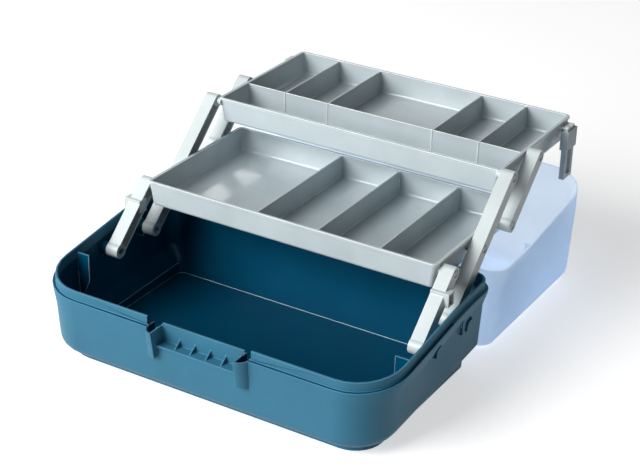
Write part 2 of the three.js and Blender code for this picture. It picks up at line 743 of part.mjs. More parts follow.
// Handle lying in its pocket, pivots towards the rear edge of the pocket.
const handlePivotDepth = handleDepth + gripWidth / 2 - gripThickness / 2;
const handlePivotHeight = boxHeight - pocketDepth + handleGap / 2 + gripThickness / 2;
function handle() {
  const half = gripLength / 2;
  const front = handleDepth - gripWidth / 2;
  const low = handlePivotHeight - gripThickness / 2;
  const high = handlePivotHeight + gripThickness / 2;
  const bow = (halfLength, nearEdge, corner) => {
    const shape = new THREE.Shape();
    shape.moveTo(halfLength, handlePivotDepth);
    shape.lineTo(-halfLength, handlePivotDepth);
    shape.absarc(corner - halfLength, nearEdge + corner, corner, Math.PI, Math.PI * 1.5);
    shape.absarc(halfLength - corner, nearEdge + corner, corner, -Math.PI / 2, 0);
    shape.closePath();
    return shape;
  };
  const outside = planExtrusion(bow(half, front, gripCorner), low, high);
  const window = planExtrusion(bow(half - gripBar, front + gripBar, gripCorner - gripBar / 2),
    low - overrun, high + overrun);
  const opened = block(gripBar - half, half - gripBar, handlePivotDepth - bite, handlePivotDepth + overrun,
    low - overrun, high + overrun);
  const eyes = bothSides(barX(gripThickness / 2, half - gripBar, half, handlePivotDepth, handlePivotHeight));
  const stubs = bothSides(
    barX(gripStubRadius, half - bite, half + gripStub, handlePivotDepth, handlePivotHeight, smallRoundSteps),
  );
  return cut(outside, [window, opened]).add(join([eyes, stubs]));
}

// Tray shell with a rolled rim, its top front edge at the given place.
function trayShell(front, top) {
  const rear = front + trayDepth;
  const wallHalf = trayHalfWidth - beadOverhang;
  const stack = (wall, floor, topRise) => {
    const rings = [];
    const bottom = top - trayHeight + floor;
    const add = (inset, depthInset, radius, z) => {
      rings.push(
        roundedRing({
          halfWidth: wallHalf - inset - wall,
          front: front + beadOverhang + depthInset + wall,
          rear: rear - beadOverhang - depthInset - wall,
          radii: [radius - wall, radius - wall],
          height: () => z,
        }),
      );
    };
    for (const [sine, cosine] of edgeLevels(trayEdgeSteps)) {
      const gone = (1 - sine) * trayFloorRadius;
      const z = bottom + (1 - cosine) * trayFloorRadius;
      add(trayDraftSide + gone, trayDraftFront + gone, trayCornerRadius - gone, z);
    }
    if (wall > 0) add(0, 0, trayCornerRadius, top + topRise);
    return { rings, add };
  };
  const outer = stack(0, 0, 0);
  const wallTop = top - beadHeight;
  outer.add(0, 0, trayCornerRadius, wallTop);
  outer.add(-beadOverhang, -beadOverhang, trayCornerRadius + beadOverhang, wallTop);
  outer.add(-beadOverhang, -beadOverhang, trayCornerRadius + beadOverhang, top);
  const inner = stack(trayWall, trayFloor, overrun);
  return { outer: loft(outer.rings), inner: loft(inner.rings), rear };
}

// Studs for a tray's arms on both sides.
function trayStuds(pivots, rootRadius) {
  const rootFrom = trayHalfWidth - beadOverhang - trayDraftSide;
  const studs = pivots.map((pivot) =>
    snapStud(rootFrom, armInner - fitGap, armOuter - fitGap, pivot.x, pivot.y, rootRadius));
  return bothSides(join(studs));
}

function lowerTray() {
  const { outer, inner, rear } = trayShell(lowerTrayFront, lowerTrayTop);
  const dividers = lowerDividers.map((x) =>
    block(x - dividerWall / 2, x + dividerWall / 2, lowerTrayFront + trayWall, rear - trayWall,
      lowerTrayTop - trayHeight + bite, lowerTrayTop - dividerDrop).intersect(outer));
  const lowerFrontPivot = lowerMiddlePivot.clone().sub(new THREE.Vector2(pivotSpacing, 0));
  const studs = trayStuds([lowerFrontPivot, lowerMiddlePivot, lowerRearPivot]);
  return outer.add(studs).subtract(inner).add(join(dividers));
}

function upperTray() {
  const { outer, inner, rear } = trayShell(upperTrayFront, upperTrayTop);
  const partitionFace = upperTrayFront + partitionSetback;
  const low = upperTrayTop - trayHeight + bite;
  const high = upperTrayTop - dividerDrop;
  const innerHalf = trayHalfWidth - beadOverhang - trayWall / 2;
  const partition = block(-innerHalf, innerHalf, partitionFace, partitionFace + dividerWall, low, high)
    .intersect(outer);
  const crossFrom = partitionFace + dividerWall / 2;
  const dividers = upperDividers.flatMap((x) => [
    block(x - dividerWall / 2, x + dividerWall / 2, crossFrom, rear - trayWall, low, high),
    block(x - ribWidth / 2, x + ribWidth / 2, partitionFace - ribDepth, partitionFace + bite, low, high),
  ]);
  const upperRearPivot = upperFrontPivot.clone().add(new THREE.Vector2(pivotSpacing, 0));
  const studs = trayStuds([upperFrontPivot, upperRearPivot], rimStudRootRadius);
  const body = outer.add(studs).subtract(inner).add(partition).add(join(dividers).intersect(outer));
  return body.add(bothSides(legLug()));
}

const legPivotDepth = upperTrayFront + trayDepth - legSetback + legDepth / 2;
const legPivotHeight = upperTrayTop - legPivotDrop;
const legMiddle = legInner + legWidth / 2;

// Lug on the tray's rear side with two rounded horns that stand in the leg's sleeve.
function legLug() {
  const hornSpread = legDepth / 2 - legWall - hornRadius - hornPlay;
  const inner = legInner + legWall + fitGap;
  const outer = legInner + legWidth - legWall - fitGap;
  const horns = [-1, 1].map((place) => {
    const y = legPivotDepth + place * hornSpread;
    return barX(hornRadius, inner, outer, y, legPivotHeight + hornRadius, smallRoundSteps);
  });
  const front = legPivotDepth - hornSpread - hornRadius;
  const rear = legPivotDepth + hornSpread + hornRadius;
  const plate = block(inner, outer, front, rear, legPivotHeight - hornRadius, legPivotHeight + hornRadius);
  const bridgeLow = upperTrayTop - legTopDrop + hornPlay + fitGap;
  const bridgeFrom = trayHalfWidth - beadOverhang - trayWall;
  const bridge = block(bridgeFrom, outer, front, rear, bridgeLow, bridgeLow + trayWall);
  const bore = barX(legPinRadius + fitGap, inner - overrun, outer + overrun, legPivotDepth, legPivotHeight);
  return join([...horns, plate, bridge]).subtract(bore);
}

// Support leg: open-topped sleeve over two legs joined by a foot bar, with its pin through the sleeve.
function supportLeg() {
  const front = legPivotDepth - legDepth / 2;
  const rear = legPivotDepth + legDepth / 2;
  const outer = legInner + legWidth;
  const top = upperTrayTop - legTopDrop;
  const sleeveFoot = top - legSleeveHeight;
  const foot = top - legLength;
  const sleeve = block(legInner, outer, front, rear, sleeveFoot, top);
  const hollow = block(legInner + legWall, outer - legWall, front + legWall, rear - legWall,
    sleeveFoot + legWall, top + overrun);
  const legX = [legInner + legStep, outer - legStep];
  const legs = [front + legStep, rear - legStep - legFootDepth].map((y) =>
    block(...legX, y, y + legFootDepth, foot, sleeveFoot + bite));
  const crossbar = block(...legX, front + legStep, rear - legStep, foot, foot + legCrossbar);
  const pin = barX(legPinRadius, legInner + bite, outer - bite, legPivotDepth, legPivotHeight,
    smallRoundSteps);
  return cut(sleeve, [hollow]).add(join([...legs, crossbar, pin]));
}

// Channel arm along local +Y from its base pivot, open on the inboard side, drawn for the right side.
function channelArm({ pivots, counterboreInboard, extras = [], hollows = [] }) {
  const last = pivots[pivots.length - 1];
  const half = armDepth / 2;
  const capsule = (radius, reach) => {
    const shape = new THREE.Shape();
    shape.moveTo(-reach, -radius);
    shape.lineTo(last + reach, -radius);
    shape.lineTo(last + reach, radius);
    shape.lineTo(-reach, radius);
    shape.closePath();
    return shape;
  };
  const body = sideExtrusion(capsule(half, 0), armInner, armOuter);
  const trough = sideExtrusion(capsule(half - armFlange, 0), armInner - overrun, armOuter - armWeb);
  const bosses = pivots.map((y, place) =>
    barX(place === 0 ? bossRadius : half, armInner, armOuter, y, 0));
  const bores = pivots.map((y) => barX(boreRadius, armInner - overrun, armOuter + overrun, y, 0));
  const counterbores = pivots.map((y, place) => {
    const inboard = place === 0 && counterboreInboard;
    const from = inboard ? armInner - overrun : armOuter - counterboreDepth;
    const to = inboard ? armInner + counterboreDepth : armOuter + overrun;
    return barX(counterboreRadius, from, to, y, 0);
  });
  const channel = body.subtract(trough).add(join([...bosses, ...extras]));
  return cut(channel, [...bores, ...counterbores, ...hollows]);
}

// Hollow stop block round the front arm, turned back upright in the open pose.
function stopBlock() {
  const outer = armOuter + blockOverhang;
  const halfDepth = blockDepth / 2;
  const halfHeight = blockHeight / 2;
  const shell = block(armInner, outer, -halfDepth, halfDepth, -halfHeight, halfHeight);
  const hollow = block(armInner + blockWall, outer + overrun, -halfDepth + blockWall, halfDepth - blockWall,
    -halfHeight + blockWall, halfHeight - blockWall);
  return [shell, hollow].map((body) => body.rotate([-openLean, 0, 0]).translate([0, blockAlong, 0]));
}

// Places an arm at its base pivot, leaning back, on the right or the left.
function placedArm(name, body, pivot, side) {
  const mesh = piece(name, side > 0 ? body : mirrored(body), armPlastic);
  mesh.position.set(0, pivot.x, pivot.y);
  mesh.rotation.x = leanRadians;
  return mesh;
}

// Puts a solid drawn in the closed box into a mesh turned about the hinge line.
function onLid(name, body, material) {
  return piece(name, body.translate([0, -hingeDepth, -hingeHeight]), material);
}

const group = new THREE.Group();
group.position.set(0, -lipDepth / 2, 0);

const lidGroup = new THREE.Group();
lidGroup.position.set(0, hingeDepth, hingeHeight);
lidGroup.rotation.x = THREE.MathUtils.degToRad(lidOpenAngle);
lidGroup.add(onLid("lid_shell", lidShell(), lidPlastic));
lidGroup.add(onLid("carry_handle", handle(), tealPlastic));
const latchGroup = new THREE.Group();
latchGroup.position.set(0, latchPivotDepth - hingeDepth, latchPivotHeight - hingeHeight);
latchGroup.rotation.x = THREE.MathUtils.degToRad(latchHangAngle);
latchGroup.add(piece("latch", latch().translate([0, -latchPivotDepth, -latchPivotHeight]), tealPlastic));
lidGroup.add(latchGroup);
lidGroup.add(onLid("latch_pin", latchPin(), pinSteel));
group.add(lidGroup);

group.add(piece("base_tub", baseTub(), tealPlastic));
group.add(piece("lower_tray", lowerTray(), trayPlastic));
group.add(piece("upper_tray", upperTray(), trayPlastic));

const [blockShell, blockHollow] = stopBlock();
const frontArm = channelArm({
  pivots: [0, armReach],
  counterboreInboard: true,
  extras: [blockShell],
  hollows: [blockHollow],
});
const longArm = channelArm({ pivots: [0, armReach, armReach * 2], counterboreInboard: true });
const rearArm = channelArm({ pivots: [0, armReach], counterboreInboard: false });
const leg = supportLeg();

for (const [sideName, side] of [["right", 1], ["left", -1]]) {
  group.add(placedArm(`front_arm_${sideName}`, frontArm, frontBasePivot, side));
  group.add(placedArm(`long_arm_${sideName}`, longArm, rearBasePivot, side));
  group.add(placedArm(`rear_arm_${sideName}`, rearArm, lowerRearPivot, side));
  group.add(piece(`support_leg_${sideName}`, side > 0 ? leg : mirrored(leg), legPlastic));
  group.add(piece(`hinge_pin_${sideName}`, hingePin(side), pinSteel));
}

export default group;
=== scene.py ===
import json
import math

import bmesh
import bpy
from mathutils import Matrix, Vector
from mathutils.bvhtree import BVHTree

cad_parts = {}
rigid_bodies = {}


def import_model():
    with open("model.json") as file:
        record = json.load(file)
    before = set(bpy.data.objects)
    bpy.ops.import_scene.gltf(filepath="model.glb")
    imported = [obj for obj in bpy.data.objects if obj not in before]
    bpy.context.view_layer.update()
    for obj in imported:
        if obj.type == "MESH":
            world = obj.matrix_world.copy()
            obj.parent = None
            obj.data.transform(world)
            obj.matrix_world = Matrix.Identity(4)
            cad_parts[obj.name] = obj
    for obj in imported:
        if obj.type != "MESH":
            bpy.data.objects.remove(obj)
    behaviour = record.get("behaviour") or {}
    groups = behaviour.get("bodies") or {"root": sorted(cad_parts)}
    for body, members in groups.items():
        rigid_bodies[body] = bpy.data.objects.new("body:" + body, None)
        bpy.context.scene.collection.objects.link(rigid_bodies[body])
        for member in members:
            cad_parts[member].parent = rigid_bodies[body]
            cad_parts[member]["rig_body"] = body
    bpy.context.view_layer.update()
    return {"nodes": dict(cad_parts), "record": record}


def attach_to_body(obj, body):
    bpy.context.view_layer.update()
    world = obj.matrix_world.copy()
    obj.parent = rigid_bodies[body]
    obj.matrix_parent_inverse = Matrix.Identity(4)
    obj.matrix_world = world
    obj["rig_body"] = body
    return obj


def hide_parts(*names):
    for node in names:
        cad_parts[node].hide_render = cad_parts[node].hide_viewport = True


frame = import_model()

scene = bpy.context.scene
MM = 0.001

# The photograph's camera, fitted to the tub's and the trays' edges; its angles are in degrees
CAMERA_TARGET = (-4.5, 103.8, 76.6)
CAMERA_AZIMUTH = 30.56
CAMERA_ELEVATION = 26.87
CAMERA_ROLL = 1.57
CAMERA_DISTANCE = 1536.2
CAMERA_LENS = 94.55
CAMERA_SENSOR = 36.0

# Lights, in metres and watts: the place, what it points at, the soft box's side, and its power.
# The two panes behind mirror in the lower tray's floor toward the camera, and show only as its soft glints.
BOX_MIDDLE = (0.0, 0.1, 0.05)
TRAY_LEFT_END = (-0.1, 0.1, 0.1)
SOFT_LIGHTS = {
    "key_light": ((-1.4, -2.27, 1.7), BOX_MIDDLE, 2.3, 166.0),
    "fill_light": ((2.0, -0.2, 0.45), BOX_MIDDLE, 0.8, 2.2),
    "near_pane": ((-0.764, 1.059, 0.658), TRAY_LEFT_END, 0.06, 0.05),
    "far_pane": ((-0.753, 1.126, 0.647), TRAY_LEFT_END, 0.045, 0.03),
}

# Room: tint and strength of its light on the box, the floor's paper, and the glow added to it where it is seen
ROOM_TINT = (1.0, 0.99, 0.98, 1.0)
ROOM_STRENGTH = 0.03
PAPER = (0.75, 0.75, 0.75, 1.0)
PAPER_GLOW = 0.6

# Floor, in metres: half its side, and how far it lies under the box's foot
FLOOR_HALF = 6.0
FLOOR_DROP = 0.0002

# Edge radius of each moulding by the start of its name; the latch's holds for its pin too
EDGE_RADII = {
    "base_tub": 0.3,
    "lid_shell": 0.5,
    "lower_tray": 0.35,
    "upper_tray": 0.35,
    "front_arm": 0.4,
    "long_arm": 0.4,
    "rear_arm": 0.4,
    "support_leg": 0.35,
    "carry_handle": 0.8,
    "latch": 0.4,
    "hinge_pin": 0.25,
}

# Angles between faces, in degrees: under the first they are merged, over the second their edge is rounded, and
# over the third an edge that is left shades hard
FLAT_ANGLE = 0.6
CREASE_ANGLE = 32.0
HARD_ANGLE = 50.0

# Vertices closer than this are one
WELD_DISTANCE = 0.002

# A rounded face narrower than this many radii counts as a pale edge, partly rubbed wear and partly painted
# highlight; its width comes from its perimeter, taken as no less than the second
WEAR_AND_HIGHLIGHT_STRIP = 1.2
LEAST_PERIMETER = 0.02

# Rays that look for walls start this far off a face, or this far to the right, within the tub and outside it
RAY_LIFT = 0.1
WITHIN_TUB = 100.0
OUTSIDE_TUB = 200.0
ROUND_AND_DOWN = [Vector(way) for way in ((1, 0, 0), (-1, 0, 0), (0, 1, 0), (0, -1, 0), (0, 0, -1))]

# Foot of the tub's lip: its height at the box's middle, its climb to the rear, and its half sizes
TUB_LIP_FOOT = 76.0
TUB_LIP_SLOPE = 0.1
TUB_LIP_SIDE = 163.0
TUB_LIP_END = 90.0

# Room of the rear hinge's knuckles and webs
HINGE_FRONT = 95.0
HINGE_REAR = 113.0
HINGE_FOOT = 78.0

# Openings in the tub's side walls round the studs: spans from front to rear, foot, top, the least distance of
# their own walls behind the outer face, and a place between them where the side wall is whole
OPENING_SPANS = ((-12.0, 22.0), (34.0, 74.0))
OPENING_FOOT = 44.0
OPENING_TOP = 73.0
OPENING_SETBACK = 1.8
SOLID_WALL_PLACE = 28.0

# Skins that close the openings from inside: heights of their rings, and their two faces' depths in the wall
SKIN_HEIGHTS = [40.0 + 3.0 * ring for ring in range(12)]
SKIN_INNER = 0.25
SKIN_OUTER = 0.6

# Faces that carry small details, at rest: heights of four floors and of the handle's underside, and how far back
# the handle's grip and the latch's faces are
TUB_FLOOR_TOP = 2.4
LID_ROOF_INSIDE = 1.7
LOWER_TRAY_FLOOR = 98.8
UPPER_TRAY_FLOOR = 141.8
HANDLE_UNDERSIDE = 5.7
HANDLE_GRIP = 251.3
LATCH_FRONT = 311.1
LATCH_BACK = 313.7

# Ejector-pin marks: their discs' height, how deep the discs' middles lie, and how much smaller they may be
MARK_HEIGHT = 0.4
MARK_DEPTH = 0.08
MARK_SPREAD = 0.15

# Sockets that share a name with others of their node, by number
MIX_A, MIX_B, MIX_RESULT = 6, 7, 2
RANDOM_MIN, RANDOM_MAX, RANDOM_VALUE = 2, 3, 1


# Materials: colours are sRGB, patterns read Object coordinates in metres

def linear(code):
    """sRGB hex to linear RGBA."""
    channels = [int(code[i:i + 2], 16) / 255 for i in (1, 3, 5)]
    return [c / 12.92 if c <= 0.04045 else ((c + 0.055) / 1.055) ** 2.4 for c in channels] + [1.0]


def add(tree, kind, inputs=None, links=None, **settings):
    """Adds a node with its settings; inputs are values and links source sockets, by socket name or number."""
    node = tree.nodes.new(kind)
    for name, value in settings.items():
        setattr(node, name, value)
    for name, value in (inputs or {}).items():
        node.inputs[name].default_value = value
    for name, source in (links or {}).items():
        tree.links.new(source, node.inputs[name])
    return node


def bare_material(name):
    """A new material and its node tree, still empty."""
    material = bpy.data.materials.new(name)
    material.use_nodes = True
    material.node_tree.nodes.clear()
    return material, material.node_tree


WHITE = linear("#ffffff")
POLYPROPYLENE_IOR = 1.49
POLYSTYRENE_IOR = 1.59
ACETAL_IOR = 1.48

# Patterns' scales, per metre: clouds some 45 mm across, scratches some 36 mm long and 2 mm apart, and lines
# 0.25 mm wide along a wire
CLOUD_SCALE = 22.0
SCRATCH_SCALE = (28.0, 420.0, 420.0)
SCRATCH_TURN = (0.3, 0.5, 0.7)
DIE_LINE_SCALE = (60.0, 4000.0, 4000.0)

# Parts of a noise's range: where most of its values lie, and the few that become scratches
NOISE_MIDDLE = {"From Min": 0.3, "From Max": 0.7}
NOISE_PEAKS = {"From Min": 0.66, "From Max": 0.74}

# How far clouds change the roughness and the share of pale edge colour, wear and painted highlight, and how clear
# see-through plastic is
ROUGHNESS_SWING = 0.05
WEAR_AND_HIGHLIGHT_SWING = 0.2
CLEAR_SHARE = 0.9


def moulded_plastic(name, colour, edge_colour, roughness, ior, grain_mm, grain_depth_mm, see_through=0.0,
                    specular=0.5, cloud=0.06, scratch=0.18, edge_share=0.5):
    """A moulded thermoplastic with mould grain, faint flow clouds, handling scratches and paler edges, partly
    rubbed wear and partly painted highlight.
    cloud is how much the clouds change its brightness, scratch is what a scratch adds to its roughness, and
    edge_share is how much of the edge colour a rounded edge takes."""
    material, tree = bare_material(name)
    place = add(tree, "ShaderNodeTexCoord").outputs["Object"]

    # Flow clouds: soft patches where the melt cooled at different speeds.
    clouds = add(tree, "ShaderNodeTexNoise", {"Scale": CLOUD_SCALE, "Detail": 2.0}, {"Vector": place})
    cloudy = {"Value": clouds.outputs["Fac"]}
    shade = add(tree, "ShaderNodeMapRange",
                {**NOISE_MIDDLE, "To Min": 1.0 - cloud, "To Max": 1.0 + cloud}, cloudy)

    # Rounded edges are paler, here more and there less: partly rubbed wear, partly a painted highlight along
    # them.
    edge = add(tree, "ShaderNodeAttribute", attribute_name="rounded_edge")
    patchy = add(tree, "ShaderNodeMapRange",
                 {**NOISE_MIDDLE, "To Min": (1 - WEAR_AND_HIGHLIGHT_SWING) * edge_share,
                  "To Max": (1 + WEAR_AND_HIGHLIGHT_SWING) * edge_share}, cloudy)
    wear_and_highlight = add(tree, "ShaderNodeMath", links={0: edge.outputs["Fac"], 1: patchy.outputs["Result"]},
               operation="MULTIPLY")
    body = add(tree, "ShaderNodeMix", {MIX_A: linear(colour), MIX_B: linear(edge_colour)},
               {0: wear_and_highlight.outputs["Value"]}, data_type="RGBA")
    tone = add(tree, "ShaderNodeHueSaturation",
               links={"Color": body.outputs[MIX_RESULT], "Value": shade.outputs["Result"]}).outputs["Color"]

    # Handling scratches: noise drawn out long and cut to thin lines, which are duller than the face.
    stretched = add(tree, "ShaderNodeMapping", {"Rotation": SCRATCH_TURN, "Scale": SCRATCH_SCALE},
                    {"Vector": place})
    scratches = add(tree, "ShaderNodeTexNoise", {"Scale": 1.0, "Detail": 3.0, "Roughness": 0.55},
                    {"Vector": stretched.outputs["Vector"]})
    lines = add(tree, "ShaderNodeMapRange", {**NOISE_PEAKS, "To Max": scratch},
                {"Value": scratches.outputs["Fac"]})
    rough = add(tree, "ShaderNodeMapRange",
                {**NOISE_MIDDLE, "To Min": roughness - ROUGHNESS_SWING, "To Max": roughness + ROUGHNESS_SWING},
                cloudy)
    rough_all = add(tree, "ShaderNodeMath", links={0: rough.outputs["Result"], 1: lines.outputs["Result"]},
                    operation="ADD")

    # Mould grain: pits of the spark-eroded steel, some 0.1 mm wide in fact and drawn coarser so that they show.
    grain = add(tree, "ShaderNodeTexNoise", {"Scale": 1000.0 / grain_mm, "Detail": 1.0, "Roughness": 0.6},
                {"Vector": place})
    bump = add(tree, "ShaderNodeBump", {"Distance": grain_depth_mm * MM}, {"Height": grain.outputs["Fac"]})

    shader = add(tree, "ShaderNodeBsdfPrincipled", {"IOR": ior, "Specular IOR Level": specular},
                 {"Base Color": tone, "Roughness": rough_all.outputs["Value"],
                  "Normal": bump.outputs["Normal"]})
    surface = shader.outputs["BSDF"]
    if see_through > 0:
        # Light that enters one face of the thin wall leaves the other, spread evenly.
        shader.inputs["Transmission Weight"].default_value = CLEAR_SHARE
        through = add(tree, "ShaderNodeBsdfTranslucent", links={"Color": tone})
        surface = add(tree, "ShaderNodeMixShader", {0: see_through},
                      {1: surface, 2: through.outputs["BSDF"]}).outputs["Shader"]
    add(tree, "ShaderNodeOutputMaterial", links={"Surface": surface})
    return material


def drawn_steel(name):
    """Bright drawn wire, duller in lines where the die dragged; real ones are finer than these, which show."""
    material, tree = bare_material(name)
    place = add(tree, "ShaderNodeTexCoord").outputs["Object"]
    along = add(tree, "ShaderNodeMapping", {"Scale": DIE_LINE_SCALE}, {"Vector": place})
    lines = add(tree, "ShaderNodeTexNoise", {"Scale": 1.0, "Detail": 2.0}, {"Vector": along.outputs["Vector"]})
    rough = add(tree, "ShaderNodeMapRange", {"To Min": 0.2, "To Max": 0.42}, {"Value": lines.outputs["Fac"]})
    bump = add(tree, "ShaderNodeBump", {"Strength": 0.4, "Distance": 0.01 * MM},
               {"Height": lines.outputs["Fac"]})
    shader = add(tree, "ShaderNodeBsdfPrincipled", {"Base Color": linear("#b9bbbd"), "Metallic": 1.0},
                 {"Roughness": rough.outputs["Result"], "Normal": bump.outputs["Normal"]})
    add(tree, "ShaderNodeOutputMaterial", links={"Surface": shader.outputs["BSDF"]})
    return material


# Polypropylene with a satin mould grain: saturated in its own shade, hazy where it mirrors the room
teal_polypropylene = moulded_plastic(
    "teal_moulded_polypropylene", "#306a83", "#5c9ab8",
    roughness=0.5, ior=POLYPROPYLENE_IOR, grain_mm=0.5, grain_depth_mm=0.012, specular=0.25)
# The same moulding's core side is a darker teal, painted shade for the inside of the tub, with less haze. Its
# rounded edges take a near-white colour, a painted highlight along the floor's crease
teal_shade_painted_inside = moulded_plastic(
    "teal_polypropylene_painted_shade_inside", "#00435f", "#c6dde6",
    roughness=0.34, ior=POLYPROPYLENE_IOR, grain_mm=0.5, grain_depth_mm=0.004, specular=0.15, edge_share=0.9)
# Natural polypropylene tinted blue: milky, and it lets light into its wall
blue_translucent_polypropylene = moulded_plastic(
    "blue_translucent_polypropylene", "#ebf4fe", "#f2f7fe",
    roughness=0.4, ior=POLYPROPYLENE_IOR, grain_mm=0.7, grain_depth_mm=0.008, see_through=0.85, cloud=0.03)
# High-impact polystyrene: even, slightly chalky satin
grey_polystyrene = moulded_plastic(
    "grey_moulded_polystyrene", "#b8c4c8", "#eff3f4",
    roughness=0.44, ior=POLYSTYRENE_IOR, grain_mm=0.45, grain_depth_mm=0.01, edge_share=0.85)
# The trays' core side is polished: it mirrors the room softly. Its grey is a little darker than the outside,
# painted shade for the shaded compartments
grey_shade_painted_inside = moulded_plastic(
    "grey_polystyrene_painted_shade_inside", "#b2bdc1", "#eff3f4",
    roughness=0.17, ior=POLYSTYRENE_IOR, grain_mm=0.45, grain_depth_mm=0.002, scratch=0.3, edge_share=0.85)
# Acetal: dense and waxy, white in the arms and greyer in the legs
white_acetal = moulded_plastic(
    "white_moulded_acetal", "#c1cacb", "#e2e8e8",
    roughness=0.36, ior=ACETAL_IOR, grain_mm=0.4, grain_depth_mm=0.006)
grey_acetal = moulded_plastic(
    "grey_moulded_acetal", "#9ea8ad", "#c0c9cd",
    roughness=0.4, ior=ACETAL_IOR, grain_mm=0.4, grain_depth_mm=0.006)
bright_steel = drawn_steel("drawn_steel_wire")

MATERIALS = {
    "base_plastic": teal_polypropylene,
    "lid_plastic": blue_translucent_polypropylene,
    "tray_plastic": grey_polystyrene,
    "arm_plastic": white_acetal,
    "leg_plastic": grey_acetal,
    "pin_steel": bright_steel,
}
# Each moulding's inside material, darker than its outside: painted shade
SHADE_PAINTED_INSIDES = {"base_tub": teal_shade_painted_inside, "lower_tray": grey_shade_painted_inside, "upper_tray": grey_shade_painted_inside}


# Objects and the bodies they ride on

def linked(name, data):
    """A new object in the scene."""
    made = bpy.data.objects.new(name, data)
    scene.collection.objects.link(made)
    return made


def mesh_of(shape, name, materials):
    """A plain mesh of an edited shape, which is freed."""
    mesh = bpy.data.meshes.new(name)
    shape.to_mesh(mesh)
    shape.free()
    for material in materials:
        mesh.materials.append(material)
    return mesh


def slot_of(node):
    return next(s["material_slot"] for s in frame["record"]["subparts"] if s["node"] == node)


def attach(piece, node):
    """Lets a piece move with the node's body."""
    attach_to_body(piece, frame["nodes"][node]["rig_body"])


# Pieces: each CAD moulding merged, its edges rounded and its faces smoothed

def edge_radius(node):
    return next(radius for start, radius in EDGE_RADII.items() if node.startswith(start))


def turns_more(edge, degrees):
    """Whether the faces beside an edge turn by more than an angle."""
    return edge.is_manifold and edge.calc_face_angle() > math.radians(degrees)


def at_the_hinge(edge):
    """Whether an edge is at the rear hinge, where a fillet would take up the closed lid's small clearance."""
    return all(HINGE_FRONT < v.co.y / MM < HINGE_REAR and v.co.z / MM > HINGE_FOOT for v in edge.verts)


def round_edges(shape, radius):
    """Rounds a shape's sharp edges and marks the narrow faces this makes, which take a paler colour: partly
    rubbed wear, partly painted highlight.
    """
    rounded = shape.faces.layers.float.new("rounded_edge")
    creases = [e for e in shape.edges if turns_more(e, CREASE_ANGLE) and (e.is_convex or not at_the_hinge(e))]
    made = bmesh.ops.bevel(shape, geom=creases, offset=radius * MM, offset_type="OFFSET", segments=2,
                           profile=0.5, affect="EDGES", clamp_overlap=False)
    for face in made["faces"]:
        width = 2 * face.calc_area() / max(face.calc_perimeter(), LEAST_PERIMETER * MM)
        face[rounded] = float(width < WEAR_AND_HIGHLIGHT_STRIP * radius * MM)


def under_the_lip(middle):
    """Whether a face of the tub is lower than its lip, or stands in from it."""
    x, y, z = middle / MM
    return z < TUB_LIP_FOOT + TUB_LIP_SLOPE * y or abs(x) < TUB_LIP_SIDE and abs(y) < TUB_LIP_END


def set_back_in_an_opening(walls, middle):
    """Whether a face of the tub is behind its outer side wall in one of the openings round the studs."""
    x, y, z = middle / MM
    if not (OPENING_FOOT < z < OPENING_TOP and any(front < y < rear for front, rear in OPENING_SPANS)):
        return False
    outside = Vector((OUTSIDE_TUB * MM, SOLID_WALL_PLACE * MM, middle.z))
    wall = walls.ray_cast(outside, Vector((-1, 0, 0)))[0]
    return abs(x) < wall.x / MM - OPENING_SETBACK


def mark_shade_painted_inside(node, shape):
    """Gives the core side's darker material, painted shade, to faces that have walls of their moulding all round
    and its floor below.
    """
    walls = BVHTree.FromBMesh(shape)
    for face in shape.faces:
        middle = face.calc_center_median()
        start = middle + face.normal * RAY_LIFT * MM
        inside = all(walls.ray_cast(start, way)[0] for way in ROUND_AND_DOWN)
        if node == "base_tub":
            inside = (inside and under_the_lip(middle)) or set_back_in_an_opening(walls, middle)
        face.material_index = int(inside)


def rounded_moulding(node, radius):
    """A merged copy of a CAD node with small edge radii, and its core side in its darker material, painted shade.
    """
    shape = bmesh.new()
    shape.from_mesh(frame["nodes"][node].data)
    bmesh.ops.remove_doubles(shape, verts=shape.verts, dist=WELD_DISTANCE * MM)
    bmesh.ops.dissolve_limit(shape, angle_limit=math.radians(FLAT_ANGLE), verts=shape.verts, edges=shape.edges)
    round_edges(shape, radius)
    for face in shape.faces:
        face.smooth = True
    for edge in shape.edges:
        edge.smooth = not turns_more(edge, HARD_ANGLE)
    materials = [MATERIALS[slot_of(node)]]
    if node in SHADE_PAINTED_INSIDES:
        materials.append(SHADE_PAINTED_INSIDES[node])
        mark_shade_painted_inside(node, shape)
    piece = linked(node + "_moulding", mesh_of(shape, node + "_moulding", materials))
    weighted = piece.modifiers.new("weighted", "WEIGHTED_NORMAL")
    weighted.keep_sharp = True
    return piece


for subpart in frame["record"]["subparts"]:
    node = subpart["node"]
    moulding = rounded_moulding(node, edge_radius(node))
    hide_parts(node)
    attach(moulding, node)


# Dark backs of the side openings: painted shade

